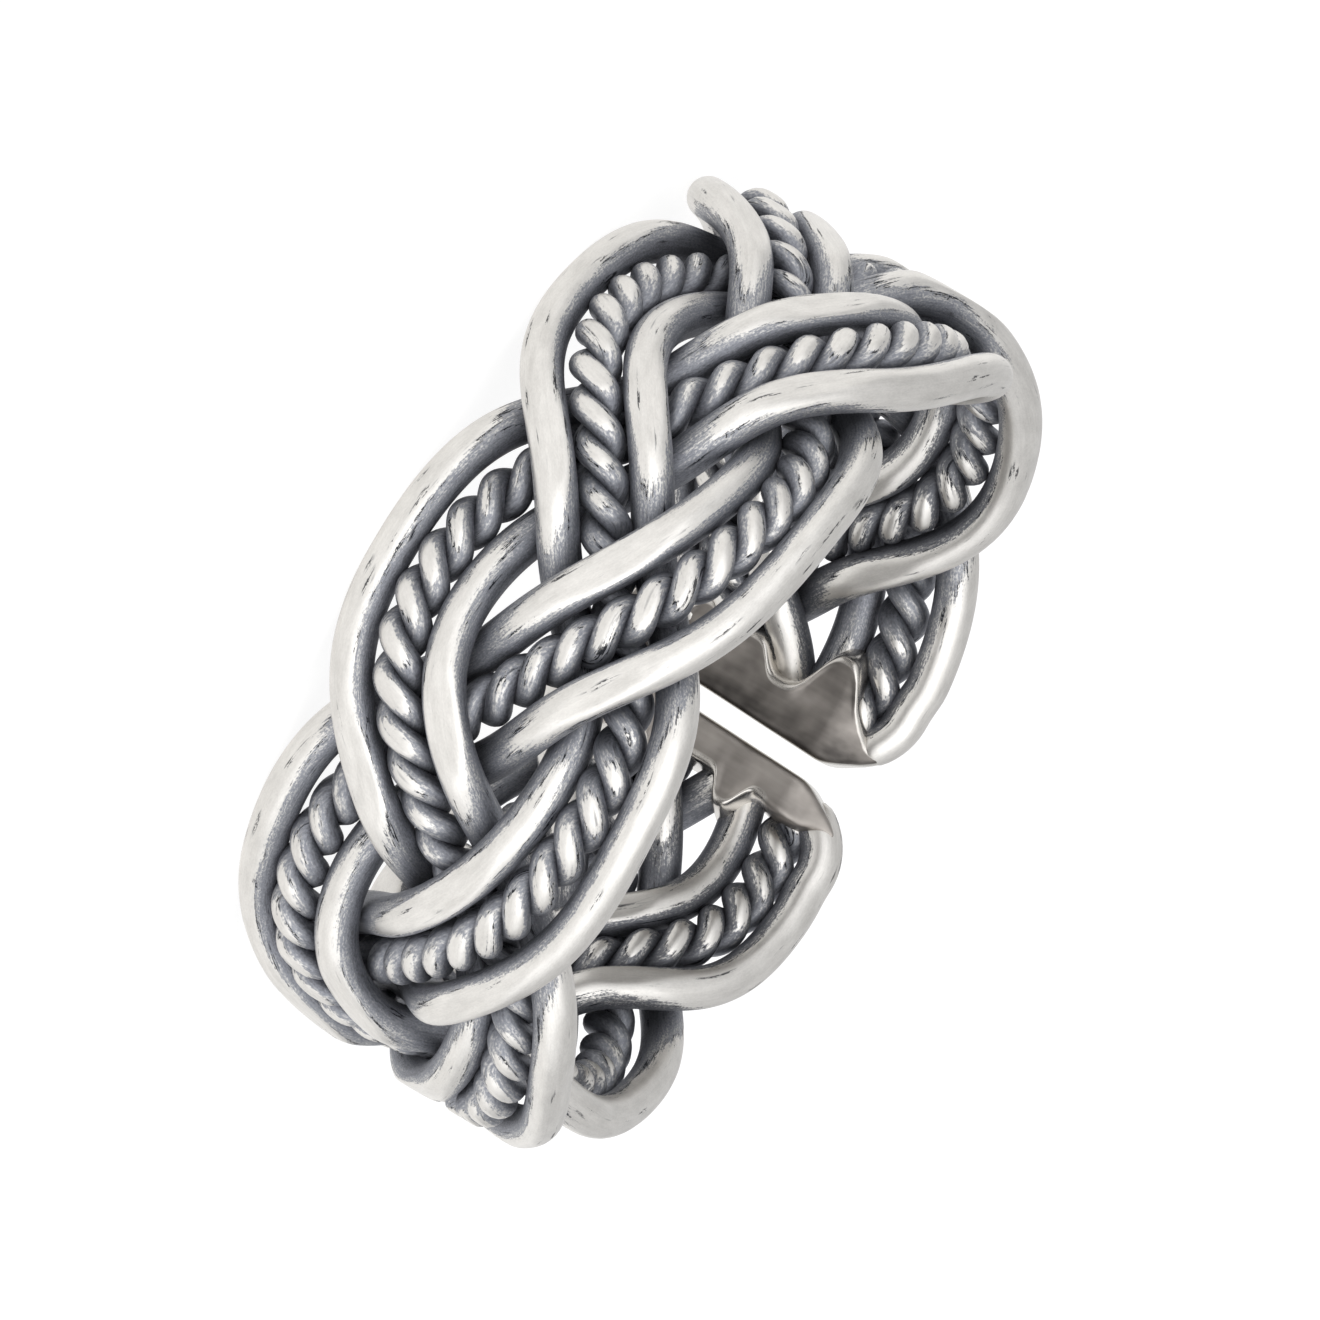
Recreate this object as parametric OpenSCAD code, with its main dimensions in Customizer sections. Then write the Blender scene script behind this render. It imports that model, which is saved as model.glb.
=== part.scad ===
// Open band ring, plaited flat from three strands of blackened silver wire.
// Each strand is a ribbon of three wires: plain, twisted from two plies, plain.
// The ring lies on its side: its axis is +Z, it stands on z = 0, and the gap
// between its ends is at the back, on +Y. Lengths are in millimetres.

/* [Ring] */
// Diameter at the middle of the band's thickness
band_d = 19.2; // [16:0.1:24]
// Gap between the two ends, along the band
end_gap = 0.8; // [0.4:0.1:6]
// Angle round the axis, from the front, where the first strand turns at the lower rim
first_turn = -94.75; // [-180:0.1:180]

/* [Wires] */
// Diameter of the plain wires
wire_d = 0.9; // [0.6:0.05:1.2]
// Diameter over both plies of the twisted wires
twist_d = 0.88; // [0.6:0.02:1.2]
// Thickness of the twisted wires across the groove between the plies
twist_waist = 0.52; // [0.4:0.02:0.8]
// Length in which the plies make one whole turn
twist_pitch = 1.9; // [1.5:0.1:3]

/* [Plait] */
// Angle round the axis in which a strand crosses the band and comes back
weave_angle = 140.8; // [100:0.1:180]
// Degrees of phase by which a strand leads an even weave: at its turns, and halfway between them
phase_lead = [-6, -11.1];
// Path of a strand's middle wire across the band: first and third harmonic
middle_path = [-2.56, -0.255];
// Path of its outer wire: mean, then first to fourth harmonic
outer_path = [-1.26, -2.57, 0.095, -0.24, 0.125];
// Rise and dip of the middle wire at the crossings: second and fourth harmonic
middle_wave = [0.55, 0.07];
// Rise and dip of the outer wire at the crossings: first to fourth harmonic
outer_wave = [0.225, 0.585, -0.345, 0.02];

/* [End plates] */
// Length of each plate along the band
plate_len = 1.6; // [1:0.1:4]
// Thickness of the plates
plate_t = 1.9; // [1:0.1:2]
// Width of the plates along the axis
plate_w = 8.3; // [7:0.1:9]
// Radius of the plate's two corners at the gap
plate_corner = 0.8; // [0.2:0.1:1.5]
// Radius on the plate's long edges
plate_edge = 0.3; // [0.1:0.05:0.5]
// Joint between a plate and the wires that end on it
plate_joint = 0.06; // [0.05:0.01:0.2]

/* [Fineness] */
// Sections along each plain wire
wire_sections = 96; // [40:1:200]
// Places where a twisted wire's length is measured
measured_places = 400; // [200:1:1000]

/* [Hidden] */
band_r = band_d / 2;
mm_angle = 360 / (PI * band_d);
gap_half = end_gap / 2 * mm_angle;
plate_angle = plate_len * mm_angle;
wire_end = 180 - gap_half - plate_angle - plate_joint * mm_angle;

// A round wire has six sides, and a section of a twisted one turns by one side to the next
sides = 6;

// Height of the wires' lowest turn under the band's middle plane
rim = wire_d / 2 - outer_across(0);

// A wire's place across the band, in the strand's phase t
function middle_across(t) = middle_path[0] * cos(t) + middle_path[1] * cos(3 * t);
function outer_across(t) =
    outer_path[0] + outer_path[1] * cos(t) + outer_path[2] * cos(2 * t)
    + outer_path[3] * cos(3 * t) + outer_path[4] * cos(4 * t);

// A wire's height over the middle of the band's thickness
function middle_rise(t) = middle_wave[0] * sin(2 * t) + middle_wave[1] * sin(4 * t);
function outer_rise(t) =
    outer_wave[0] * sin(t) + outer_wave[1] * sin(2 * t)
    + outer_wave[2] * sin(3 * t) + outer_wave[3] * sin(4 * t);

// The wire on a strand's other side runs as the outer one does half a weave on, mirrored
function across(wire, t) =
    wire == 0 ? middle_across(t) : wire < 0 ? outer_across(t) : -outer_across(t + 180);
function rise(wire, t) =
    wire == 0 ? middle_rise(t) : wire < 0 ? outer_rise(t) : outer_rise(t + 180);

// Strands follow each other a third of a weave apart, and the hand that plaits pulls each
// turn a little to one side
function phase(strand, angle) =
    let (t = (angle - first_turn) / weave_angle * 360 - strand * 120)
    t + phase_lead[0] * cos(t) + phase_lead[1] * sin(2 * t);

function outward(angle) = [sin(angle), -cos(angle), 0];
function round_axis(angle) = [cos(angle), sin(angle), 0];

function centre(strand, wire, angle) =
    let (t = phase(strand, angle))
    (band_r + rise(wire, t)) * outward(angle) + [0, 0, rim + across(wire, t)];

function unit(v) = v / norm(v);
function heading(strand, wire, angle) =
    unit(centre(strand, wire, angle + 0.05) - centre(strand, wire, angle - 0.05));

// A section's points lie round the wire, slid along it into the plane through the ring's axis
function section(strand, wire, angle, turn, radii) =
    let (
        c = centre(strand, wire, angle),
        along = heading(strand, wire, angle),
        up = unit(outward(angle) - (outward(angle) * along) * along),
        side = cross(along, up),
        plane = round_axis(angle)
    )
    [for (i = [0:sides - 1])
        let (
            a = turn + 360 / sides * i,
            arm = radii[i] * (cos(a) * side + sin(a) * up)
        )
        c + arm - along * (arm * plane) / (along * plane)];

function angles(count) = [for (i = [0:count - 1]) -wire_end + 2 * wire_end * i / (count - 1)];

// Pairs of a middle wire's length so far and the angle reached, from its first end on
function measured(strand) =
    let (
        at = angles(measured_places),
        step = [for (i = [1:len(at) - 1])
            norm(centre(strand, 0, at[i]) - centre(strand, 0, at[i - 1]))]
    )
    [for (i = 0, s = 0; i < len(at); s = s + (i < len(step) ? step[i] : 0), i = i + 1) [s, at[i]]];

// Angles of a twisted wire's sections, which are evenly spaced along it
function twist_angles(strand) =
    let (
        pairs = measured(strand),
        total = pairs[len(pairs) - 1][0],
        count = round(total / twist_pitch) * sides
    )
    [for (i = [0:count]) lookup(total * i / count, pairs)];

function plain_points(strand, wire) =
    let (radii = [for (i = [1:sides]) wire_d / 2])
    [for (a = angles(wire_sections)) each section(strand, wire, a, 0, radii)];

// The plies stand out on opposite sides, and wind as a left-handed screw
function twisted_points(strand, at) =
    let (
        waist = twist_waist / 2 / cos(180 / sides),
        radii = [twist_d / 2, waist, waist, twist_d / 2, waist, waist]
    )
    [for (i = [0:len(at) - 1]) each section(strand, 0, at[i], 360 / sides * i, radii)];

// Skin of one wire whose points start at a given place in the list
function skin(start, sections) =
    let (last = start + (sections - 1) * sides)
    concat(
        [[for (i = [0:sides - 1]) start + i]],
        [[for (i = [sides - 1:-1:0]) last + i]],
        [for (n = [0:sections - 2], i = [0:sides - 1])
            let (
                a = start + n * sides + i,
                b = start + n * sides + (i + 1) % sides
            )
            each [[a, a + sides, b], [b, a + sides, b + sides]]]
    );

// One strand: its three wires lie side by side and don't touch
module strand(number) {
    at = twist_angles(number);
    plain_count = wire_sections * sides;
    twist_count = len(at) * sides;
    color([0.62, 0.62, 0.63])
        polyhedron(
            points = concat(
                plain_points(number, -1),
                twisted_points(number, at),
                plain_points(number, 1)
            ),
            faces = concat(
                skin(0, wire_sections),
                skin(plain_count, len(at)),
                skin(plain_count + twist_count, wire_sections)
            )
        );
}

// Profile of a plate, from the ring's axis outwards, with rounded long edges
module plate_profile() {
    inner = band_r - plate_t / 2;
    translate([inner, -plate_w / 2 + plate_edge])
        square([plate_t, plate_w - 2 * plate_edge]);
    translate([inner + plate_edge, -plate_w / 2])
        square([plate_t - 2 * plate_edge, plate_w]);
    for (x = [inner + plate_edge, inner + plate_t - plate_edge])
        for (y = [-1, 1] * (plate_w / 2 - plate_edge))
            translate([x, y])
                circle(r = plate_edge, $fn = 32);
}

// Outline of a plate seen from outside, with its two corners at the gap rounded
module plate_outline() {
    long = plate_len + 1;
    translate([0, -plate_w / 2 + plate_corner])
        square([long, plate_w - 2 * plate_corner]);
    translate([plate_corner, -plate_w / 2 - 1])
        square([long - plate_corner, plate_w + 2]);
    for (y = [-1, 1] * (plate_w / 2 - plate_corner))
        translate([plate_corner, y])
            circle(r = plate_corner, $fn = 48);
}

// Flat plate that the wires are soldered to, on the +X side of the gap
module end_plate() {
    color([0.58, 0.56, 0.54])
        translate([0, 0, rim])
            intersection() {
                rotate([0, 0, 90 - gap_half - plate_angle])
                    rotate_extrude(angle = plate_angle, $fn = 180)
                        plate_profile();
                rotate([0, 0, -gap_half])
                    translate([0, band_r - plate_t, 0])
                        rotate([-90, 0, 0])
                            linear_extrude(2 * plate_t)
                                plate_outline();
            }
}

strand(0);  // strand_a
strand(1);  // strand_b
strand(2);  // strand_c
mirror([1, 0, 0]) end_plate();  // end_plate_left
end_plate();  // end_plate_right
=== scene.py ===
# %% [markdown]
# # A plaited open silver ring
# The ring is plaited flat from three strands. Each strand is a ribbon of three
# wires laid side by side: plain, twisted from two plies, plain. The wires were
# blackened and then buffed, so the high places are bright and the low ones stay
# slate. We load the plain solids first and dress them: each solid gives way to a
# finely meshed piece that follows the same path.

# %% Load the frame
import math

import bpy
import numpy as np
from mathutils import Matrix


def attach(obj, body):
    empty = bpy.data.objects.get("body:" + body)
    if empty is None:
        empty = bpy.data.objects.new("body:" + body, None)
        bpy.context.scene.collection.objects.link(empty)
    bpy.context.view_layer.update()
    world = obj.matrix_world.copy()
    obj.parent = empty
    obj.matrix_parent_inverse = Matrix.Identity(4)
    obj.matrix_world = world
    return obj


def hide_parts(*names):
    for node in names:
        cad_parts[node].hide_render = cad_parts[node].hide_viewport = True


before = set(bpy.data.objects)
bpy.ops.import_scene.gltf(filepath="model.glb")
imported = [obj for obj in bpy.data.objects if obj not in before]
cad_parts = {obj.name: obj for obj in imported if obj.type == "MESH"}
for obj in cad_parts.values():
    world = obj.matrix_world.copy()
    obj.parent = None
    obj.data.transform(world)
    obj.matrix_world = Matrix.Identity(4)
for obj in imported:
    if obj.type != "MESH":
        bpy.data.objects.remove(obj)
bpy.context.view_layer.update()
MM = 0.001   # metres


# %% [markdown]
# ## The ring's sizes
# The solids are drawn from a few named sizes. We could measure their meshes, but a
# handful of numbers is easier to follow, so they are written again here. The wires
# are a little thicker than the solids' wires: the real ones touch, and the solids
# keep a gap.

# %% Sizes in millimetres
BAND_R = 9.6                   # from the ring's axis to the middle of the band's thickness
END_GAP = 0.8                  # between the solids' two ends
PLATE_LEN, PLATE_T = 1.6, 1.9  # a plate along the band, and its thickness
SOLID_WIRE_R = 0.45            # radius of a plain wire in the solids
PLAIN_R = 0.487                # radius of a plain wire here
PLY_R = 0.310                  # radius of one ply of a twisted wire
TWIST_R = 0.282                # radius of the screw line that a ply's centre follows
TWIST_PITCH = 1.9              # length of one whole turn of the plies
STRANDS = {"plait_a": "strand_a", "plait_b": "strand_b", "plait_c": "strand_c"}

# The weave, in degrees
FIRST_TURN = -94.75            # from the front, where the first strand turns at the lower rim
WEAVE_ANGLE = 140.8            # round the ring, in which a strand crosses the band and comes back
LEAD_ONCE, LEAD_TWICE = -6.0, -11.1   # lead over an even weave, in waves that fit it once and twice

# Waves across the band and over its middle: how many fit a weave (0 is their mean), and their height
MIDDLE_PATH = {1: -2.56, 3: -0.255}
OUTER_PATH = {0: -1.26, 1: -2.57, 2: 0.095, 3: -0.24, 4: 0.125}
MIDDLE_WAVE = {2: 0.55, 4: 0.07}
OUTER_WAVE = {1: 0.225, 2: 0.585, 3: -0.345, 4: 0.02}


def cosines(parts, t):
    """Sum of each height times the cosine of its whole number times t degrees."""
    return sum(size * np.cos(np.radians(n * t)) for n, size in parts.items())


def sines(parts, t):
    """Sum of each height times the sine of its whole number times t degrees."""
    return sum(size * np.sin(np.radians(n * t)) for n, size in parts.items())


RIM = SOLID_WIRE_R - float(cosines(OUTER_PATH, 0.0))   # height of the band's middle over the floor
print("band's middle is", round(RIM, 3), "mm over the floor")

# %% [markdown]
# ## The camera
# The photograph looks almost level at the ring, which lies on its side, from in
# front and a little above. The camera is turned on its own axis, so that the band
# stands up in the picture. A camera could be placed by eye. This one's numbers were
# fitted to places on the wires, so that each wire falls where the photograph shows
# it. It is far away with a long lens, as for a product picture.

# %% Camera
from mathutils import Matrix

VIEW_RISE = 13.02             # degrees above level
VIEW_ROLL = 120.49            # degrees turned on the camera's own axis
VIEW_FAR = 454.5              # mm from the ring
VIEW_SIDE = 1320              # pixels along each side of the picture
VIEW_SCALE = 45.18            # pixels a mm, at the ring
RING_AT = (641.25, 664.91)    # the ring's centre in the picture, in pixels
SENSOR = 36                   # width of the camera's sensor in mm

rise_angle, roll_angle = math.radians(VIEW_RISE), math.radians(VIEW_ROLL)
back = np.array([0, -math.cos(rise_angle), math.sin(rise_angle)])
level = np.array([1.0, 0, 0])
upward = np.array([0, math.sin(rise_angle), math.cos(rise_angle)])
picture_x = math.cos(roll_angle) * level + math.sin(roll_angle) * upward
picture_y = -math.sin(roll_angle) * level + math.cos(roll_angle) * upward
eye = (
    np.array([0, 0, RIM]) + back * VIEW_FAR
    + picture_x * (VIEW_SIDE / 2 - RING_AT[0]) / VIEW_SCALE
    + picture_y * (RING_AT[1] - VIEW_SIDE / 2) / VIEW_SCALE
)

camera = bpy.data.objects.new("camera", bpy.data.cameras.new("camera"))
bpy.context.scene.collection.objects.link(camera)
turn = Matrix([[picture_x[i], picture_y[i], back[i]] for i in range(3)]).to_4x4()
camera.matrix_world = Matrix.Translation([v * MM for v in eye]) @ turn
camera.data.sensor_width = SENSOR
camera.data.lens = VIEW_SCALE * VIEW_FAR / VIEW_SIDE * SENSOR
camera.data.clip_start, camera.data.clip_end = 0.01, 20   # metres
camera.data.dof.use_dof = False
bpy.context.scene.camera = camera
print("lens", round(camera.data.lens, 1), "mm, eye at", np.round(eye, 1), "mm")

# %% [markdown]
# ## Where the wires run
# Seen flat, each wire swings from rim to rim like a wave, and the other two
# strands follow a third of a weave behind. A second, faster wave lifts it over
# one strand and dips it under the next. The paths could be drawn as curves by hand,
# but both waves are short sums of cosines and sines, so the whole plait comes from
# a handful of numbers and repeats exactly.

# %% Waves of the plait


def phase(strand, angle):
    """A strand's place in its weave, in degrees: the angle since the first strand's turn as
    a share of the weave's angle, times 360, less 120 for each strand before it. The hand
    that plaits pulls each turn a little to one side, so a cosine of that place and a sine
    of twice it are added."""
    t = (angle - FIRST_TURN) / WEAVE_ANGLE * 360 - strand * 120
    return t + LEAD_ONCE * np.cos(np.radians(t)) + LEAD_TWICE * np.sin(np.radians(2 * t))


def across(wire, t):
    """Place across the band, from its middle: a sum of cosines. A strand's wires are -1, 0
    and 1, of which 0 is the twisted one in its middle. Wire 1 runs as wire -1 does half a
    weave on, mirrored."""
    if wire == 0:
        return cosines(MIDDLE_PATH, t)
    return cosines(OUTER_PATH, t) if wire < 0 else -cosines(OUTER_PATH, t + 180)


def lift(wire, t):
    """Height over the middle of the band's thickness: a sum of sines."""
    if wire == 0:
        return sines(MIDDLE_WAVE, t)
    return sines(OUTER_WAVE, t if wire < 0 else t + 180)


def smooth(low, high, x):
    """0 before low, 1 past high, and between them three times the square of the way, less
    twice its cube. With low above high the step falls."""
    u = np.clip((x - low) / (high - low), 0, 1)
    return u * u * (3 - 2 * u)


def ring_point(angle, radius, height):
    """A point at an angle round the axis, a distance from it and a height over the band's
    middle. Its x is the distance times the angle's sine, its y is minus the distance times
    the cosine, and its z is the height plus that of the middle."""
    a = np.radians(angle)
    return np.stack([radius * np.sin(a), -radius * np.cos(a), RIM + height], -1)


print("the middle wires swing", round(float(across(0, 180.0)), 2), "mm to each side")

# %% [markdown]
# ## How the wires meet the end plates
# On the real ring the wires run into the solder of the plates. The ones on the rims
# turn round the plates' corners, and close the outline there. Straight paths with
# separate corner pieces would show a joint, so the same paths are bent instead.

# %% Paths of the wires, in millimetres
MM_A_DEGREE = BAND_R * math.pi / 180
PLATE_AT = END_GAP / 2 + PLATE_LEN       # from the middle of the gap to where the wires enter the plates
CUT_AT, CUT_ASKEW = 0.26, 0.047          # the same to a plate's edge, and its change for a mm across
LIFT_KEPT, LIFT_FADE = 0.35, 1.4         # share of the lift left in a plate, and half the fade's length
CORNER_W, CORNER_R = 2.35, 1.4           # across to the rim wires' quarter circle, and its radius
MOST_TURNED, CORNER_EASE = 0.97, 1.2     # share of the radius where the turn stops, and its way to the rim
BENT_STRAND, BENT_ASIDE = 2, 0.35        # which strand was bent aside at the left plate, and how far
BEND = (5.5, 2.5)                        # from the middle of the gap, where the bend starts and is whole
WIRE_TIP, TWIST_TIP = 0.85, 1.2          # the same to the tips of the plain and of the twisted wires
PATH_POINTS = 3000                       # along a path, before they are spaced evenly


def gap_edge(side, place):
    """From the middle of the gap to a plate's edge: a distance, plus or less a share of the
    place across, because the saw cut runs a little askew."""
    return CUT_AT + side * CUT_ASKEW * place


def wire_line(strand, wire, angle):
    """Centre of a wire: its lift and its place across the band are the waves above. Towards
    the gap the lift fades, so that the wire ends in the plate's metal, and the place is held
    inside a quarter circle: its centre's place, plus the radius times the root of one less
    the square of the share of the radius that is gone."""
    t = phase(strand, angle)
    side = np.sign(angle)
    from_gap = (180 - np.abs(angle)) * MM_A_DEGREE
    kept = LIFT_KEPT + (1 - LIFT_KEPT) * smooth(PLATE_AT - LIFT_FADE, PLATE_AT + LIFT_FADE, from_gap)
    place = across(wire, t)
    if strand == BENT_STRAND:
        place = place + BENT_ASIDE * smooth(*BEND, from_gap) * (side < 0)
    corner = gap_edge(side * np.sign(place), CORNER_W) + PLAIN_R + CORNER_R
    turned = np.clip((corner - from_gap) / CORNER_R, 0, MOST_TURNED)
    on_rim = RIM - SOLID_WIRE_R
    room = CORNER_W + CORNER_R * np.sqrt(1 - turned ** 2)
    room = room + (on_rim - CORNER_W - CORNER_R) * smooth(0, CORNER_EASE, from_gap - corner)
    return ring_point(angle, BAND_R + lift(wire, t) * kept, np.clip(place, -room, room))


WIRE_END, TWIST_END = 180 - WIRE_TIP / MM_A_DEGREE, 180 - TWIST_TIP / MM_A_DEGREE
WIRE_ANGLES = np.linspace(-WIRE_END, WIRE_END, PATH_POINTS)
TWIST_ANGLES = np.linspace(-TWIST_END, TWIST_END, PATH_POINTS)
for wire, angles in ((-1, WIRE_ANGLES), (0, TWIST_ANGLES), (1, WIRE_ANGLES)):
    steps = np.diff(wire_line(0, wire, angles), axis=0)
    print("wire", wire, "is", round(float(np.linalg.norm(steps, axis=1).sum()), 1), "mm long")

# %% [markdown]
# ## A round wire along a path
# Drawn wire is round all along. A curve with a bevel gives that too, but then we
# couldn't say where each point lies on the wire, which the finish needs. So a
# circle is carried along the path. It stands square to the path, and its first
# direction points away from the ring's axis, so it never spins by chance. The
# places are spaced evenly by length. At each end the circle shrinks as a ball's
# slices do, which closes the wire with a round tip.

# %% Lines and the directions on them


def unit(v):
    """Each vector divided by its length."""
    return v / np.linalg.norm(v, axis=-1, keepdims=True)


def even_line(points, count):
    """The same line with its points evenly spaced by length, and the length at each."""
    length = np.concatenate([[0], np.cumsum(np.linalg.norm(np.diff(points, axis=0), axis=1))])
    at = np.linspace(0, length[-1], count)
    return np.stack([np.interp(at, length, points[:, i]) for i in range(3)], -1), at


def frames(line):
    """Directions at each point: along the line, which is the difference of its neighbours,
    away from the ring's axis and square to that, and the cross product of the two."""
    along = unit(np.gradient(line, axis=0))
    out = line * np.array([1, 1, 0])
    up = unit(out - (out * along).sum(-1, keepdims=True) * along)
    return along, up, np.cross(along, up)


def ball_ends(length, radius):
    """1 along a wire. In the last radius at each end, the root of one less the square of the
    way to the tip."""
    near = np.clip(np.minimum(length, length[-1] - length) / radius, 0, 1)
    return np.sqrt(np.clip(1 - (1 - near) ** 2, 0, 1))


line, length = even_line(wire_line(0, -1, WIRE_ANGLES), 5)
print("five even places on a wire:", np.round(length, 1), "mm from its tip")

# %% [markdown]
# ## Plain and twisted wires
# A plain wire is one such tube. A twisted one was made by twisting two thin wires
# together, so two tubes wind round its centre as a left-handed screw. A texture
# could pretend that, but the plies have to stand out in the outline.

# %% Wires as grids
PLAIN_ROWS, PLAIN_SIDES = 520, 32
PLY_ROWS, PLY_SIDES = 1300, 16
CORE_ROWS = 2400                        # along the line that both plies wind round
PLIES_JOIN = 0.5                        # mm at each end in which the plies come together
NOISE_ALONG, NOISE_ASIDE = 37.0, 5.0    # mm from one wire's stretch of noise to the next wire's


def round_wire(line, length, radius, sides, number):
    """Grid of points round a line: the line's point, plus the radius times the cosine of
    a going-round angle to the side and its sine away from the ring's axis. Each point's
    place is kept as length and the two offsets too, as if the wire were pulled straight,
    and moved by the wire's own number, so that no two wires have the same marks. On a
    thin wire the offsets are shrunk, which draws the noise wider round it."""
    along, up, side = frames(line)
    a = np.arange(sides) / sides * 2 * math.pi
    slim = (radius * ball_ends(length, radius))[:, None]
    u, v = slim * np.cos(a), slim * np.sin(a)
    skin = line[:, None] + u[..., None] * side[:, None] + v[..., None] * up[:, None]
    fine = radius / PLAIN_R
    pulled = np.broadcast_to(length[:, None] + number * NOISE_ALONG, u.shape)
    straight = np.stack([pulled, fine * u + number * NOISE_ASIDE, fine * v], -1)
    return {"skin": skin, "ends": line[[0, -1]], "straight": straight, "radius": radius,
            "line": line, "length": length}


def plain_wire(strand, wire):
    """One round wire along its path."""
    line, length = even_line(wire_line(strand, wire, WIRE_ANGLES), PLAIN_ROWS)
    return round_wire(line, length, PLAIN_R, PLAIN_SIDES, strand * 3 + wire)


def twisted_wire(strand):
    """Two plies, half a turn apart. A ply's centre is the wire's, plus the screw line's
    radius times the cosine of the turn to the side and its sine away from the ring's axis.
    Near a tip that radius falls with the root of the way to it."""
    core, length = even_line(wire_line(strand, 0, TWIST_ANGLES), CORE_ROWS)
    along, up, side = frames(core)
    plies = []
    for ply in (0, 1):
        a = (2 * math.pi * length / TWIST_PITCH + math.pi * ply)[:, None]
        near = np.clip(np.minimum(length, length[-1] - length) / PLIES_JOIN, 0, 1)[:, None]
        line = core + TWIST_R * np.sqrt(near) * (np.cos(a) * side + np.sin(a) * up)
        line, own = even_line(line, PLY_ROWS)
        plies.append(round_wire(line, own, PLY_R, PLY_SIDES, strand * 3 + ply * 0.5))
    return plies


wires = {}
for number, name in enumerate(STRANDS):
    wires[name] = [plain_wire(number, -1), *twisted_wire(number), plain_wire(number, 1)]
    print(name, "has", sum(w["skin"].shape[0] * w["skin"].shape[1] for w in wires[name]), "points")

# %% [markdown]
# ## Worn flats
# Buffing wears the highest places flat: the tops of the crossings, the inside that
# the finger rubs, and the two rims. A Boolean cut would do that with a sharp crease.
# Here each point is held softly behind a limit, so a flat has a rounded border.

# %% Flatten the high places
WORN_OUTSIDE, WORN_INSIDE = 10.66, 8.47   # mm from the ring's axis
WORN_RIM = RIM - 0.004                    # mm from the band's middle
SOFT, SOFT_RIM = 0.035, 0.008             # mm, how gently a flat's border is rounded


def soft_limit(x, limit, softness):
    """x well below the limit, and nearly the limit above it: the limit less the softness
    times the logarithm of one plus e to the power of what is left to the limit over the
    softness."""
    return limit - softness * np.logaddexp(0, (limit - x) / softness)


def wear(points):
    """The same points, with their distance from the axis and their height over the band's
    middle each held inside its limits."""
    radius = np.hypot(points[..., 0], points[..., 1])
    angle = np.degrees(np.arctan2(points[..., 0], -points[..., 1]))
    worn = soft_limit(radius, WORN_OUTSIDE, SOFT)
    worn = -soft_limit(-worn, -WORN_INSIDE, SOFT)
    height = points[..., 2] - RIM
    height = soft_limit(height, WORN_RIM, SOFT_RIM)
    height = -soft_limit(-height, WORN_RIM, SOFT_RIM)
    return ring_point(angle, worn, height)


for parts in wires.values():
    for w in parts:
        w["skin"], w["ends"] = wear(w["skin"]), wear(w["ends"])
every = np.concatenate([w["skin"].reshape(-1, 3) for parts in wires.values() for w in parts])
print("worn wires reach", np.round(every.min(0), 3), "to", np.round(every.max(0), 3), "mm")

# %% [markdown]
# ## How open each place is
# A buffing wheel reaches only what is open to the outside. Blender has an Ambient
# Occlusion node for that, but it works only while a picture is rendered, and the
# model can't carry it. So for every point we add up how much of its sky the other
# wires fill. Each short length of wire fills about twice its radius times its length
# over the distance squared, counted more the more squarely it is faced. That gives
# one number a point, 1 for open and near 0 for deep. The polish follows it, and the
# slate takes painted shade from it where wires touch.

# %% Openness
SAMPLE_STEP = 0.16     # mm of wire to a sample
NEAREST = 0.06         # square mm, the least that a distance squared counts, inside a wire too
SLICE = 3.0            # degrees of the ring that are worked out at once
REACH = 14.0           # degrees to each side in which the wires count


def grid_normals(skin):
    """Outward normals of a grid: the cross product of its two directions. The tiny number
    keeps a tip, where both are nothing, from a division by nothing."""
    around = np.roll(skin, -1, 1) - np.roll(skin, 1, 1)
    return unit(np.cross(np.gradient(skin, axis=0), around) + 1e-12)


def line_samples(w):
    """Evenly spaced places along a wire, and the area that each shows: twice the radius
    times the length between two of them."""
    count = max(2, int(w["length"][-1] / SAMPLE_STEP))
    at, length = even_line(w["line"], count)
    return at, np.full(count, 2 * w["radius"] * length[-1] / (count - 1))


samples = [line_samples(w) for parts in wires.values() for w in parts]
sample_at = np.concatenate([at for at, area in samples])
sample_area = np.concatenate([area for at, area in samples])
sample_angle = np.degrees(np.arctan2(sample_at[:, 0], -sample_at[:, 1]))
order = np.argsort(sample_angle)
sample_at, sample_area, sample_angle = sample_at[order], sample_area[order], sample_angle[order]


def openness(points, normals):
    """One over e to the power of the filled part of each point's sky. A sample fills its
    area times the cosine to the point's normal, over pi times the distance squared. It is
    worked out slice by slice round the ring, because all at once needs much memory."""
    shape = points.shape[:-1]
    points, normals = points.reshape(-1, 3), normals.reshape(-1, 3)
    angle = np.degrees(np.arctan2(points[:, 0], -points[:, 1]))
    filled = np.zeros(len(points))
    for low in np.arange(-180, 180, SLICE):
        here = np.flatnonzero((angle >= low) & (angle < low + SLICE))
        a, b = np.searchsorted(sample_angle, [low - REACH, low + SLICE + REACH])
        if len(here) and b > a:
            to = sample_at[None, a:b] - points[here, None]
            square = np.maximum((to ** 2).sum(-1), NEAREST)
            facing = np.maximum((to * normals[here, None]).sum(-1), 0) / np.sqrt(square)
            filled[here] = (sample_area[a:b] * facing / (math.pi * square)).sum(-1)
    return np.exp(-filled).reshape(shape)


print("samples:", len(sample_at), "with", round(float(sample_area.sum())), "square mm in all")

# %% [markdown]
# ## Two numbers for the polish and the painted shade
# The wheel's cloth rides on the plain wires and presses less on the plies between
# them, so these count as a little less open. Whether a place is on the inside of the
# band is kept as a second number, which lays painted shade on the slate there. Both
# could be painted by hand, but then a change to the plait would need new painting.

# %% Openness of the wires
PLY_SHELTER = 0.07            # openness that the plies lose between the plain wires
INSIDE_OF = (9.7, 9.0)        # mm from the axis, where the inside of the band starts and is whole

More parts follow.
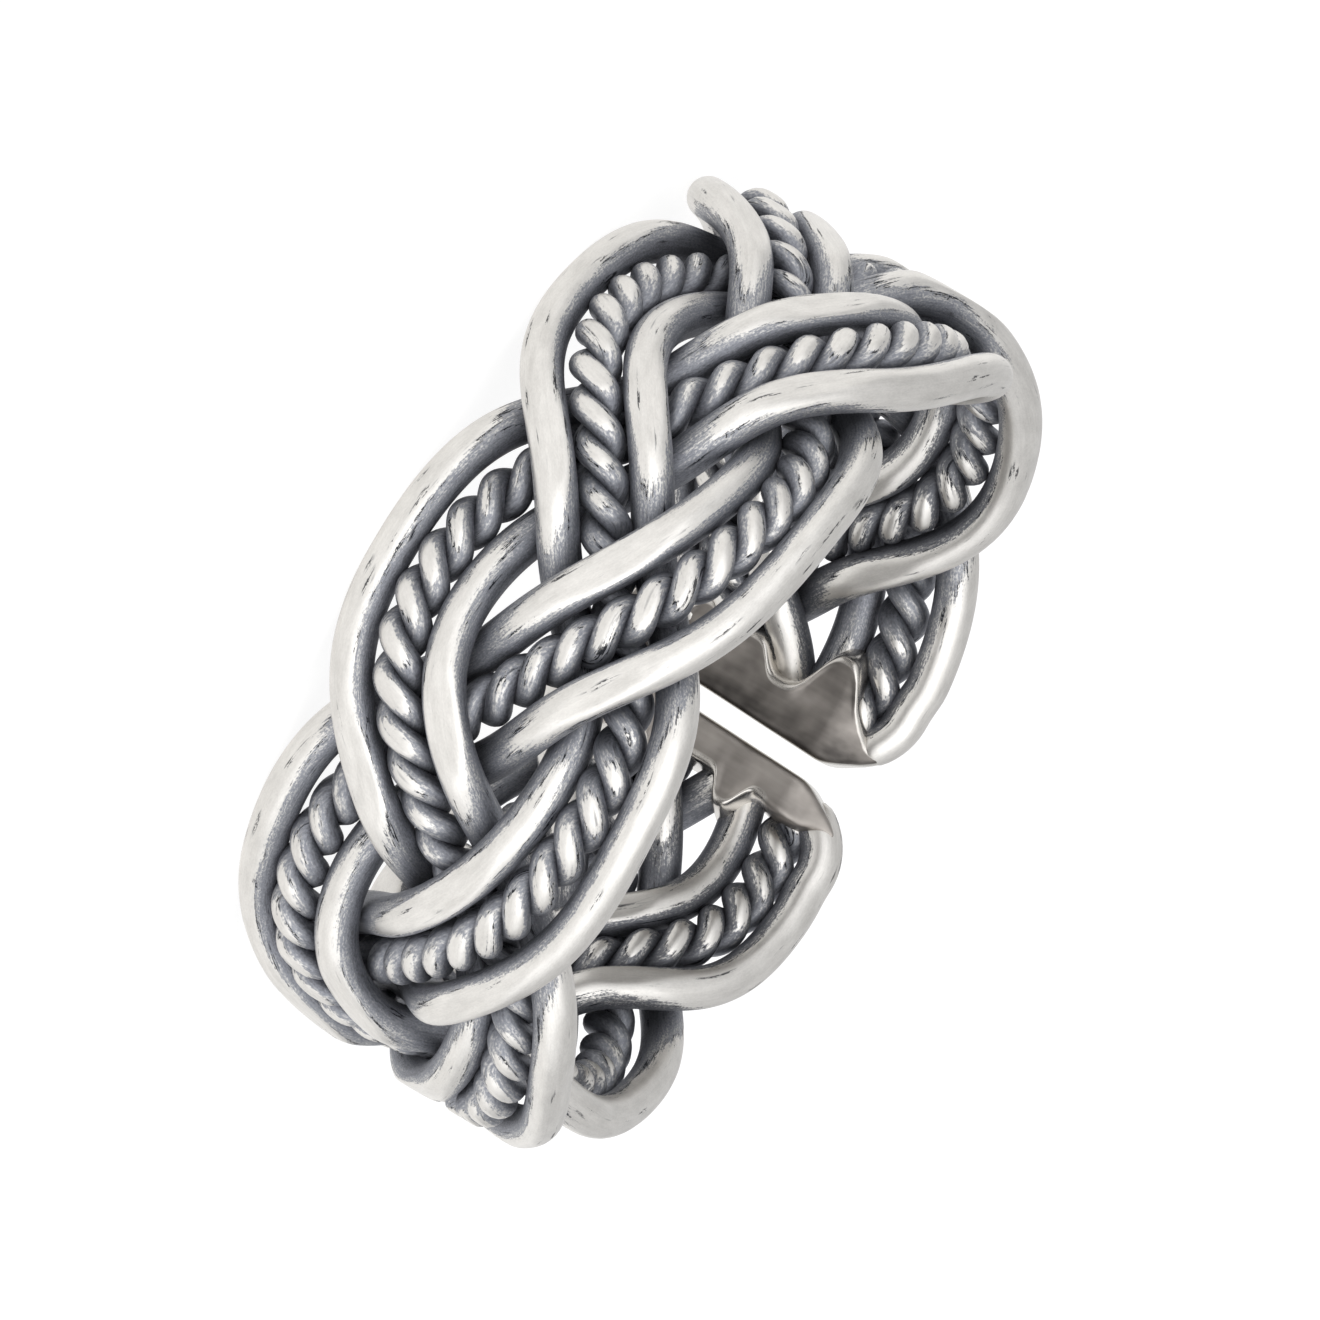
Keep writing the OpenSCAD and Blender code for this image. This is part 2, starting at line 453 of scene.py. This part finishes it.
for parts in wires.values():
    for w in parts:
        w["open"] = openness(w["skin"], grid_normals(w["skin"]))
        if w["radius"] == PLY_R:
            w["open"] = w["open"] - PLY_SHELTER
        w["inward"] = smooth(*INSIDE_OF, np.hypot(w["skin"][..., 0], w["skin"][..., 1]))
share = np.concatenate([w["open"].ravel() for parts in wires.values() for w in parts])
print("openness at 5, 25, 50, 75, 95 of 100:", np.round(np.percentile(share, [5, 25, 50, 75, 95]), 2))

# %% [markdown]
# ## From grids to meshes
# Blender wants one list of corners and one list of faces. Adding a hundred thousand
# faces one by one is slow, so whole arrays are put in at once. Each grid gives a
# four-sided face between neighbours, and a fan of triangles closes each end. All the
# wires of a strand become one mesh, which carries for each point the numbers that
# the materials read.

# %% Faces of a grid


def grid_faces(rows, sides, first):
    """Corner numbers of a grid that goes round, counted from first: the quads between
    neighbours, and a fan at each end round one point more."""
    i, j = np.meshgrid(np.arange(rows - 1), np.arange(sides), indexing="ij")
    k = (j + 1) % sides
    quads = np.stack([i * sides + j, (i + 1) * sides + j, (i + 1) * sides + k, i * sides + k], -1)
    j = np.arange(sides)
    k, start, end = (j + 1) % sides, rows * sides, rows * sides + 1
    fans = np.concatenate([
        np.stack([np.full(sides, start), j, k], -1),
        np.stack([np.full(sides, end), (rows - 1) * sides + k, (rows - 1) * sides + j], -1),
    ])
    return quads.reshape(-1, 4) + first, fans + first


def smooth_mesh(name, points, quads, fans):
    """A mesh of quads and triangles with smooth shading, from points in millimetres."""
    mesh = bpy.data.meshes.new(name)
    mesh.vertices.add(len(points))
    mesh.vertices.foreach_set("co", (points * MM).ravel())
    mesh.loops.add(quads.size + fans.size)
    corners = np.concatenate([quads.ravel(), fans.ravel()])
    mesh.loops.foreach_set("vertex_index", corners.astype(np.int32))
    mesh.polygons.add(len(quads) + len(fans))
    starts = np.concatenate([np.arange(len(quads)) * 4, quads.size + np.arange(len(fans)) * 3])
    mesh.polygons.foreach_set("loop_start", starts.astype(np.int32))
    mesh.update(calc_edges=True)
    mesh.validate()
    mesh.polygons.foreach_set("use_smooth", np.ones(len(mesh.polygons), bool))
    return mesh


print("a wire of 3 rings with 4 sides has", [len(f) for f in grid_faces(3, 4, 0)], "quads and triangles")

# %% Pieces from grids


def make_piece(name, grids, values):
    """One object from several closed grids. Values are the names of the numbers that each
    grid keeps for every point, and a tip gets the mean of the ring beside it. The printed
    volume is a sixth of the sum of each triangle's triple product, which is above nothing
    when the faces point outwards."""
    points, quads, fans, kept = [], [], [], {v: [] for v in values}
    first = 0
    for g in grids:
        rows, sides = g["skin"].shape[:2]
        q, f = grid_faces(rows, sides, first)
        points += [g["skin"].reshape(-1, 3), g["ends"]]
        quads.append(q)
        fans.append(f)
        for v in values:
            flat = g[v].reshape(rows * sides, -1)
            kept[v] += [flat, flat[:sides].mean(0, keepdims=True), flat[-sides:].mean(0, keepdims=True)]
        first += rows * sides + 2
    points, quads, fans = (np.concatenate(x) for x in (points, quads, fans))
    mesh = smooth_mesh(name, points, quads, fans)
    for v in values:
        data = np.concatenate(kept[v])
        kind, field = ("FLOAT", "value") if data.shape[1] == 1 else ("FLOAT_VECTOR", "vector")
        column = mesh.attributes.new(v, kind, "POINT").data
        column.foreach_set(field, data.astype(np.float32).ravel())
    piece = bpy.data.objects.new(name, mesh)
    bpy.context.scene.collection.objects.link(piece)
    triangles = points[np.concatenate([quads[:, :3], quads[:, [0, 2, 3]], fans])]
    volume = np.einsum("ij,ij->", triangles[:, 0], np.cross(triangles[:, 1], triangles[:, 2])) / 6
    print(name, "has", len(triangles), "triangles round", round(float(volume), 2), "cubic mm")
    return piece


plaits = {name: make_piece(name, parts, ["open", "inward", "straight"]) for name, parts in wires.items()}

# %% [markdown]
# ## The end plates
# At the gap the wires are soldered to two curved plates. A plate could be a bevelled
# box with its border cut by a curve, but one closed grid keeps the wavy border, the
# rounded edges and the hollow inside smooth together. It is a pillow: across the
# band it runs from rim to rim, and each slice is a rounded oblong from the gap to
# the wavy border, where solder has crept along the wires. A thin bright lip runs
# along that border.

# %% What each plate is like
# A side is -1 or 1, for where the plate lies from the gap. Tongues are the solder on its border:
# place across the band, half width and reach. Those above the middle are as the photograph shows
# them, and the others are a likely guess. Then come its length without them, in its middle and at
# its corners, and the place across where the lip ends, all in mm. Last come painted shade and light
# on the inner face: the left plate has painted shade that darkens towards the cut, and the right one
# is painted paler all over as painted light, so its dark_all is negative.
PLATES = {
    "plate_left": {
        "side": -1,
        "tongues": [(-2.75, 0.30, 0.9), (-2.1, 0.40, 0.5), (-1.3, 0.40, 0.9),
                    (-0.05, 0.55, 0.75), (2.13, 0.62, 1.35)],
        "length": 1.50, "corner_length": 1.10, "lip_end": 5.0,
        "dark_cut": 1.0, "dark_all": 0.0,
    },
    "plate_right": {
        "side": 1,
        "tongues": [(-2.9, 0.25, 0.6), (-2.3, 0.30, 0.8), (-1.6, 0.40, 0.5),
                    (-0.7, 0.35, 0.6), (1.15, 0.36, 0.72), (2.55, 0.55, 0.14)],
        "length": 1.38, "corner_length": 1.28, "lip_end": 2.1,
        "dark_cut": 0.0, "dark_all": -0.5,
    },
}
print("tongues of solder:", {name: len(about["tongues"]) for name, about in PLATES.items()})

# %% [markdown]
# ## A plate as a grid
# Each step in the shape is a smooth one between two places, so that no crease shows.
# Pairs below are those two places, and the step falls where the first is the larger.

# %% Plates, in millimetres
PLATE_ROWS, PLATE_ROUND = 241, 96       # points across a plate with its tips, and round a slice
HALF_WIDE = 3.8                         # half a plate's width
TIP = 0.12                              # at each side, in which the pillow closes
TIP_LENGTH = 0.1                        # share of its length that it closes to
SHORTER = (2.9, 3.5)                    # from the middle: its length turns to the corners' length
DRAWN_BACK, DRAWN_FROM = 0.12, (2.5, 3.3)   # and its edge at the gap lies behind the rim wires
SHORTEST = 0.2                          # length that is left at least
SIDE_HALF_T, THINNER = 0.25, (4.0, 2.3)     # half thickness at the sides, thin so that the rim wires hide it
OBLONG, ROUNDER_BY, ROUNDER = 0.34, 0.5, (2.9, 3.7)   # power that rounds a slice, more at the sides
SQUARER = 0.8                           # share of that power along the band
INNER = (0.5, 0.95)                     # of the half thickness inwards, where the inner face starts
LIP, LIP_ENDS = (0.34, 0.16), 0.3       # from the border, the bright lip, and half the length of its end
CUT_EDGE = (0.07, 0.02)                 # from the cut, the bright edge
DARKER = (1.3, 0.1)                     # from the cut, the darkening
HOLLOW = 0.08                           # depth of the hollow
HOLLOW_EDGE, HOLLOW_W = (0.1, 0.5), (3.3, 2.4)   # where it starts, from the edges and across


def end_plate(side, tongues, length, corner_length, lip_end, dark_cut, dark_all):
    """Closed grid of a plate. Its border is its length plus one bump for each tongue: the
    reach over e to the cube of the distance over the half width. Its edge at the gap is the
    saw cut, drawn in round the rim wires' quarter circle. Round a slice, the angle's cosine
    and sine, each to a power below one, make a rounded oblong."""
    place = HALF_WIDE * np.sin(np.linspace(-math.pi / 2, math.pi / 2, PLATE_ROWS)[1:-1])
    wide = np.abs(place)
    far = length - (length - corner_length) * smooth(*SHORTER, wide)
    for at, width, reach in tongues:
        far = far + reach * np.exp(-np.abs((place - at) / width) ** 3)
    outer = PLAIN_R + CORNER_R
    round_corner = outer - np.sqrt(np.clip(outer ** 2 - np.clip(wide - CORNER_W, 0, None) ** 2, 0, None))
    near = gap_edge(side, place) + round_corner + DRAWN_BACK * smooth(*DRAWN_FROM, wide)
    far = np.maximum(far, near + SHORTEST)

    shut = np.sqrt(np.clip((HALF_WIDE - wide) / TIP, 0, 1))
    middle = (near + far) / 2
    half_length = (far - near) / 2 * (TIP_LENGTH + (1 - TIP_LENGTH) * shut)
    half_t = (SIDE_HALF_T + (PLATE_T / 2 - SIDE_HALF_T) * smooth(*THINNER, wide)) * shut
    power = OBLONG + ROUNDER_BY * smooth(*ROUNDER, wide)[:, None]
    a = np.arange(PLATE_ROUND) / PLATE_ROUND * 2 * math.pi
    x = np.sign(np.cos(a)) * np.abs(np.cos(a)) ** (SQUARER * power)
    y = np.sign(np.sin(a)) * np.abs(np.sin(a)) ** power
    along = middle[:, None] + half_length[:, None] * x
    from_border, from_cut = far[:, None] - along, along - near[:, None]

    inner = smooth(*INNER, -y)
    hollow = HOLLOW * inner * smooth(*HOLLOW_EDGE, np.minimum(from_border, from_cut))
    hollow = hollow * smooth(*HOLLOW_W, wide)[:, None]
    radius = BAND_R + half_t[:, None] * y + hollow
    wide_place = np.broadcast_to(place[:, None], radius.shape)
    skin = ring_point(side * (180 - along / MM_A_DEGREE), radius, wide_place)
    tip_angles = side * (180 - middle[[0, -1]] / MM_A_DEGREE)
    tips = ring_point(tip_angles, np.full(2, BAND_R), np.array([-HALF_WIDE, HALF_WIDE]))

    lip = smooth(*LIP, from_border) * smooth(lip_end + LIP_ENDS, lip_end - LIP_ENDS, place)[:, None]
    edge = np.maximum(lip, smooth(*CUT_EDGE, from_cut))
    # painted shade and light on the inner face: darker towards the cut on the left plate, paler all over on
    # the right one
    shade = inner * (dark_cut * smooth(*DARKER, from_cut) + dark_all)
    if side > 0:   # the grid would be inside out on this side, so it is gone round the other way
        skin, edge, shade = skin[:, ::-1], edge[:, ::-1], shade[:, ::-1]
    return {"skin": skin, "ends": tips, "edge": edge, "shade": shade}


plate_pieces = {}
for name, about in PLATES.items():
    plate_pieces[name] = make_piece(name, [end_plate(**about)], ["edge", "shade"])

# %% [markdown]
# ## Colours and nodes
# A material is a tree of nodes. It can be drawn by hand in the Shader Editor, but in
# a script each step can be read and named. Colours are written as on the web and
# turned to the linear values that the renderer works in. One function adds any node
# with its settings and its links.

# %% Helpers for materials
# Short names of Blender's nodes
MATH, RANGE, MIX = "ShaderNodeMath", "ShaderNodeMapRange", "ShaderNodeMix"
NOISE, RAMP, BUMP = "ShaderNodeTexNoise", "ShaderNodeValToRGB", "ShaderNodeBump"
ATTRIBUTE, COORDINATE, MAPPING = "ShaderNodeAttribute", "ShaderNodeTexCoord", "ShaderNodeMapping"
PRINCIPLED, OUTPUT = "ShaderNodeBsdfPrincipled", "ShaderNodeOutputMaterial"


def colour(hexa):
    """Linear colour from a web colour: a low value is divided by 12.92, and the others,
    plus 0.055 and over 1.055, are raised to the power of 2.4."""
    c = np.array([int(hexa[i:i + 2], 16) for i in (1, 3, 5)]) / 255
    linear = np.where(c <= 0.04045, c / 12.92, ((c + 0.055) / 1.055) ** 2.4)
    return (*[float(v) for v in linear], 1.0)


def add(tree, kind, links, out=0, stops=(), **settings):
    """Adds a node and gives one of its outputs. Settings are its properties, stops are a
    ramp's places and web colours, and links give each input a value or another output."""
    node = tree.nodes.new(kind)
    for key, value in settings.items():
        setattr(node, key, value)
    for key, value in links.items():
        if isinstance(value, bpy.types.NodeSocket):
            tree.links.new(value, node.inputs[key])
        else:
            node.inputs[key].default_value = value
    for number, (place, hexa) in enumerate(stops):   # a new ramp has two stops already
        element = node.color_ramp.elements[number] if number < 2 else node.color_ramp.elements.new(place)
        element.position, element.color = place, colour(hexa)
    return node.outputs[out] if len(node.outputs) else None


def blank_material(name):
    """A new material without any node, and its tree."""
    material = bpy.data.materials.new(name)
    material.use_nodes = True
    material.node_tree.nodes.clear()
    return material, material.node_tree


print("middle grey is", round(colour("#808080")[0], 3), "in linear light")

# %% [markdown]
# ## Blackened and buffed silver wire
# The wire is sterling silver, drawn round, plaited, and dipped in a sulphur bath
# that turns it slate grey. A buffing wheel then brings the high places back to
# bright, warm white silver. The border between the two is not clean: it is
# streaked along the wire, with specks of black left in fine scratches. Painted
# textures would do, but noise that is stretched along the wire fits any length
# of it. It reads the wire as if it were pulled straight, in millimetres.

# %% Noises along the wire
# Size of each noise's marks in mm, along the wire and round it, and its levels of detail.
# Real buffing scratches are finer than 0.02 mm, too fine for the render, so the finest
# marks are drawn 0.035 to 0.05 mm wide.
MARKS = {
    "streak": (1.3, 0.05, 3),
    "blotch": (0.8, 0.3, 2),
    "grain": (0.07, 0.035, 2),
    "cluster": (1.4, 0.2, 1),
    "scratch": (0.45, 0.045, 3),
}

wire_silver, tree = blank_material("blackened_buffed_silver_wire")
straight = add(tree, ATTRIBUTE, {}, "Vector", attribute_name="straight")
open_ = add(tree, ATTRIBUTE, {}, "Fac", attribute_name="open")
inward = add(tree, ATTRIBUTE, {}, "Fac", attribute_name="inward")

noises = {}
for kind, (along, girth, detail) in MARKS.items():
    apart = (3.1 * detail, 7.0 * along, 90.0 * girth)   # so that no two noises coincide
    scale = (1 / along, 1 / girth, 1 / girth)
    at = add(tree, MAPPING, {"Vector": straight, "Location": apart, "Scale": scale})
    noises[kind] = add(tree, NOISE, {"Vector": at, "Scale": 1.0, "Detail": detail, "Roughness": 0.6}, "Fac")
print("noises on the wire:", ", ".join(noises))

# %% [markdown]
# ## Where the wheel has polished
# The polish follows the openness, shaken by the noises, less about their mean. Beside
# the bright band the wheel has also caught single grains of the slate. Black stays
# in pits, which lie in clusters, most of them at the border of the bright band.

# %% Polish
POLISH_FROM, POLISH_TO = 0.70, 0.82     # shaken openness where the polish starts and is whole
shaken = add(tree, MATH, {0: open_, 1: 0.51}, operation="SUBTRACT")
for kind, size in (("streak", 0.40), ("blotch", 0.24), ("grain", 0.36)):
    shaken = add(tree, MATH, {0: noises[kind], 1: size, 2: shaken}, operation="MULTIPLY_ADD")
polish = add(tree, RANGE, {"Value": shaken, "From Min": POLISH_FROM, "From Max": POLISH_TO},
             interpolation_type="SMOOTHSTEP")

caught = add(tree, RANGE, {"Value": shaken, "From Min": 0.45, "From Max": 0.74, "To Max": 0.7})
high = add(tree, MATH, {0: noises["scratch"], 1: noises["grain"]}, operation="ADD")
high = add(tree, RANGE, {"Value": high, "From Min": 1.0, "From Max": 1.15})
caught = add(tree, MATH, {0: caught, 1: high}, operation="MULTIPLY")
polish = add(tree, MATH, {0: polish, 1: caught}, operation="MAXIMUM")
print("nodes so far:", len(tree.nodes))

# %% Pits
BORDER = 0.76                           # shaken openness in the middle of the polish's border
border = add(tree, MATH, {0: shaken, 1: BORDER}, operation="SUBTRACT")
border = add(tree, MATH, {0: border}, operation="ABSOLUTE")
border = add(tree, RANGE, {"Value": border, "From Min": 0.09, "From Max": 0.02})
often = add(tree, RANGE, {"Value": noises["cluster"], "From Min": 0.42, "From Max": 0.56})
border = add(tree, MATH, {0: border, 1: often}, operation="MULTIPLY")
seldom = add(tree, RANGE, {"Value": noises["cluster"], "From Min": 0.64, "From Max": 0.72})
pitted = add(tree, MATH, {0: border, 1: seldom}, operation="MAXIMUM")
pits = add(tree, MATH, {0: noises["grain"], 1: 0.4, 2: noises["scratch"]}, operation="MULTIPLY_ADD")
pits = add(tree, RANGE, {"Value": pits, "From Min": 0.68, "From Max": 0.76}, interpolation_type="SMOOTHSTEP")
pits = add(tree, MATH, {0: pits, 1: pitted}, operation="MULTIPLY")
polish = add(tree, MATH, {0: pits, 1: -0.9, 2: polish}, operation="MULTIPLY_ADD", use_clamp=True)
print("nodes so far:", len(tree.nodes))

# %% [markdown]
# ## Slate and bright silver
# The tarnish is patchy and palest beside the bright band. Where wires touch it is
# darkest: the tarnish is deepest there, and painted shade darkens it more. On the
# inside of the band it is darker with painted shade. The bright silver is cloudy from
# the wheel's cloth. Both are metal, so their colour is what they reflect, and their
# roughness tells them apart: tarnish is matt, and buffed silver shines softly.

# %% Colour
# painted shade over the tarnish's mottle: the slate is darker where openness is low, where wires touch
mottle_and_crevice_shade = add(tree, MATH, {0: open_, 1: -1.60}, operation="ADD")
for kind, size in (("streak", 1.1), ("blotch", 0.6), ("grain", 1.5)):
    mottle_and_crevice_shade = add(tree, MATH, {0: noises[kind], 1: size, 2: mottle_and_crevice_shade}, operation="MULTIPLY_ADD")
slate = add(tree, RAMP, {"Fac": mottle_and_crevice_shade}, "Color", stops=[
    (0.00, "#797a7f"), (0.14, "#86878d"), (0.36, "#8f9197"), (0.62, "#9e9fa3"), (0.95, "#bcbbba")])
# painted shade: the slate is darkened on the inside of the band
inside = add(tree, MATH, {0: inward, 1: 0.5}, operation="MULTIPLY")
slate = add(tree, MIX, {"Factor": inside, "A": slate, "B": colour("#3b3c40")}, "Result", data_type="RGBA")
slate = add(tree, MIX, {"Factor": pits, "A": slate, "B": colour("#303135")}, "Result", data_type="RGBA")

cloudy = add(tree, MATH, {0: noises["blotch"], 1: 0.30}, operation="SUBTRACT")
for kind, size in (("streak", 0.4), ("grain", 0.6)):
    cloudy = add(tree, MATH, {0: noises[kind], 1: size, 2: cloudy}, operation="MULTIPLY_ADD")
bright = add(tree, RAMP, {"Fac": cloudy}, "Color", stops=[(0.45, "#d0cdc8"), (0.95, "#e4e1dc")])
base = add(tree, MIX, {"Factor": polish, "A": slate, "B": bright}, "Result", data_type="RGBA")
print("nodes so far:", len(tree.nodes))

# %% Shine and fine relief
GRAIN_DEEP, BLOTCH_DEEP = 0.00001, 0.00003   # metres: 0.01 mm of grain and 0.03 mm of dents

rough = add(tree, RANGE, {"Value": polish, "To Min": 0.55, "To Max": 0.35})
rough = add(tree, MATH, {0: noises["blotch"], 1: 0.06, 2: rough}, operation="MULTIPLY_ADD")
uneven = add(tree, RANGE, {"Value": polish, "To Min": 0.8, "To Max": 0.2})
bump = add(tree, BUMP, {"Height": noises["grain"], "Strength": uneven, "Distance": GRAIN_DEEP})
bump = add(tree, BUMP, {"Height": noises["blotch"], "Strength": 0.08, "Distance": BLOTCH_DEEP,
                        "Normal": bump})
shader = add(tree, PRINCIPLED, {"Base Color": base, "Metallic": 1.0, "Roughness": rough, "Normal": bump})
add(tree, OUTPUT, {"Surface": shader})
print(wire_silver.name, "has", len(tree.nodes), "nodes")

# %% [markdown]
# ## Satin silver of the plates
# The plates were filed, soldered and dipped with the rest, then rubbed lightly
# along the gap: a warm, cloudy grey with bright edges. Brushed metal could be drawn
# with an anisotropic shader, but this rubbing is faint, so a noise that is longer
# along the ring's axis is enough.

# %% Plate material
plate_silver, tree = blank_material("filed_satin_silver_plate")
place = add(tree, COORDINATE, {}, "Object")
edge = add(tree, ATTRIBUTE, {}, "Fac", attribute_name="edge")
shade = add(tree, ATTRIBUTE, {}, "Fac", attribute_name="shade")

# Marks a metre, because Object coordinates are metres. Clouds are 1.4 mm wide, and the marks of
# rubbing 0.2 mm wide and 1.7 mm long. The real ones are finer, and are drawn coarser so that they show.
CLOUDS, RUBS_ACROSS, RUBS_ALONG = 700.0, 5000.0, 600.0
RUBS_DEEP, CLOUDS_DEEP = 0.00001, 0.00006   # metres
cloud = add(tree, NOISE, {"Vector": place, "Scale": CLOUDS, "Detail": 3, "Roughness": 0.55}, "Fac")
at = add(tree, MAPPING, {"Vector": place, "Scale": (RUBS_ACROSS, RUBS_ACROSS, RUBS_ALONG)})
rubbed = add(tree, NOISE, {"Vector": at, "Scale": 1.0, "Detail": 2}, "Fac")
tone = add(tree, MATH, {0: rubbed, 1: 0.22, 2: cloud}, operation="MULTIPLY_ADD")
# painted shade and light: the shade number darkens the left plate towards the cut and makes the right one
# paler
tone = add(tree, MATH, {0: shade, 1: -0.30, 2: tone}, operation="MULTIPLY_ADD")
face = add(tree, RAMP, {"Fac": tone}, "Color", stops=[(0.26, "#3f3c3a"), (0.58, "#827d78"), (0.9, "#aca6a0")])
lip = add(tree, MATH, {0: rubbed, 1: 0.5, 2: edge}, operation="MULTIPLY_ADD")
lip = add(tree, RANGE, {"Value": lip, "From Min": 0.6, "From Max": 1.1}, interpolation_type="SMOOTHSTEP")
base = add(tree, MIX, {"Factor": lip, "A": face, "B": colour("#c8c4be")}, "Result", data_type="RGBA")
rough = add(tree, RANGE, {"Value": lip, "To Min": 0.45, "To Max": 0.26})
bump = add(tree, BUMP, {"Height": rubbed, "Strength": 0.3, "Distance": RUBS_DEEP})
bump = add(tree, BUMP, {"Height": cloud, "Strength": 0.4, "Distance": CLOUDS_DEEP, "Normal": bump})
shader = add(tree, PRINCIPLED, {"Base Color": base, "Metallic": 1.0, "Roughness": rough, "Normal": bump})
add(tree, OUTPUT, {"Surface": shader})
print(plate_silver.name, "has", len(tree.nodes), "nodes")

# %% [markdown]
# ## Fixing the pieces to the frame
# Each piece takes the place of its solid, rides on the ring's one body, and gets its
# material in a slot.

# %% Ride, replace, slot
for name, node in STRANDS.items():
    plaits[name].data.materials.append(wire_silver)
    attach(plaits[name], "root")
    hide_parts(node)
for name, node in {"plate_left": "end_plate_left", "plate_right": "end_plate_right"}.items():
    plate_pieces[name].data.materials.append(plate_silver)
    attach(plate_pieces[name], "root")
    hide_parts(node)
print("pieces fixed:", len(plaits) + len(plate_pieces))

# %% [markdown]
# ## The floor
# The photograph's background is white without a shadow. A white board under lamps
# would show a grey shadow, so the ring lies on a light table, which glows white
# through opal glass and hides it.

# %% Floor
FLOOR_HALF = 3       # metres, so that its edge is far away
GLASS_CLOUDS = 25.0  # marks a metre: opal glass is faintly uneven over some 40 mm

board, tree = blank_material("opal_glass_light_table")
place = add(tree, COORDINATE, {}, "Object")
cloud = add(tree, NOISE, {"Vector": place, "Scale": GLASS_CLOUDS, "Detail": 2}, "Fac")
base = add(tree, RAMP, {"Fac": cloud}, "Color", stops=[(0.3, "#868686"), (0.7, "#8c8c8c")])
shader = add(tree, PRINCIPLED, {"Base Color": base, "Roughness": 0.9, "Specular IOR Level": 0.1,
                                "Emission Color": colour("#ffffff"), "Emission Strength": 0.84})
add(tree, OUTPUT, {"Surface": shader})

floor_mesh = bpy.data.meshes.new("floor")
floor_corners = [(x * FLOOR_HALF, y * FLOOR_HALF, 0) for x, y in ((-1, -1), (1, -1), (1, 1), (-1, 1))]
floor_mesh.from_pydata(floor_corners, [], [(0, 1, 2, 3)])
floor = bpy.data.objects.new("floor", floor_mesh)
bpy.context.scene.collection.objects.link(floor)
floor_mesh.materials.append(board)
print("floor is", round(floor.dimensions.x, 1), "m wide")

# %% [markdown]
# ## Light
# Silver shows what is around it, so lamps alone would leave it black with a few
# white spots. A bright room does most of the lighting instead. It is brightest in
# front, to the right and low, and falls off towards its back and its ceiling, which
# leaves a slow change of tone over each wire. One large soft box adds the brightest
# highlights.

# %% Room and soft box
world = bpy.data.worlds.new("white_room")
bpy.context.scene.world = world
world.use_nodes = True
tree = world.node_tree
tree.nodes.clear()
place = add(tree, COORDINATE, {}, "Generated")
BRIGHTEST = (0.32, -0.90, -0.3)   # to the right, to the front and down
ahead = add(tree, "ShaderNodeVectorMath", {0: place, 1: BRIGHTEST}, "Value", operation="DOT_PRODUCT")
glow = add(tree, RANGE, {"Value": ahead, "From Min": -0.4, "From Max": 0.8, "To Min": 0.72, "To Max": 1.68},
           interpolation_type="SMOOTHSTEP")
room = add(tree, "ShaderNodeBackground", {"Color": colour("#fcfdff"), "Strength": glow})
add(tree, "ShaderNodeOutputWorld", {"Surface": room})

lamp = bpy.data.lights.new("box_in_front", "AREA")
lamp.shape = "SQUARE"
lamp.size = 0.7        # metres
lamp.energy = 0.9      # watts
box = bpy.data.objects.new("box_in_front", lamp)
bpy.context.scene.collection.objects.link(box)
box.location = (0.15, -0.55, 0.55)
box.rotation_euler = (-box.location).to_track_quat("-Z", "Y").to_euler()
bpy.context.scene.view_settings.view_transform = "Standard"   # white stays white, as in the photograph
bpy.context.scene.view_settings.look = "None"
print("soft box is", round(box.location.length, 2), "m from the ring")
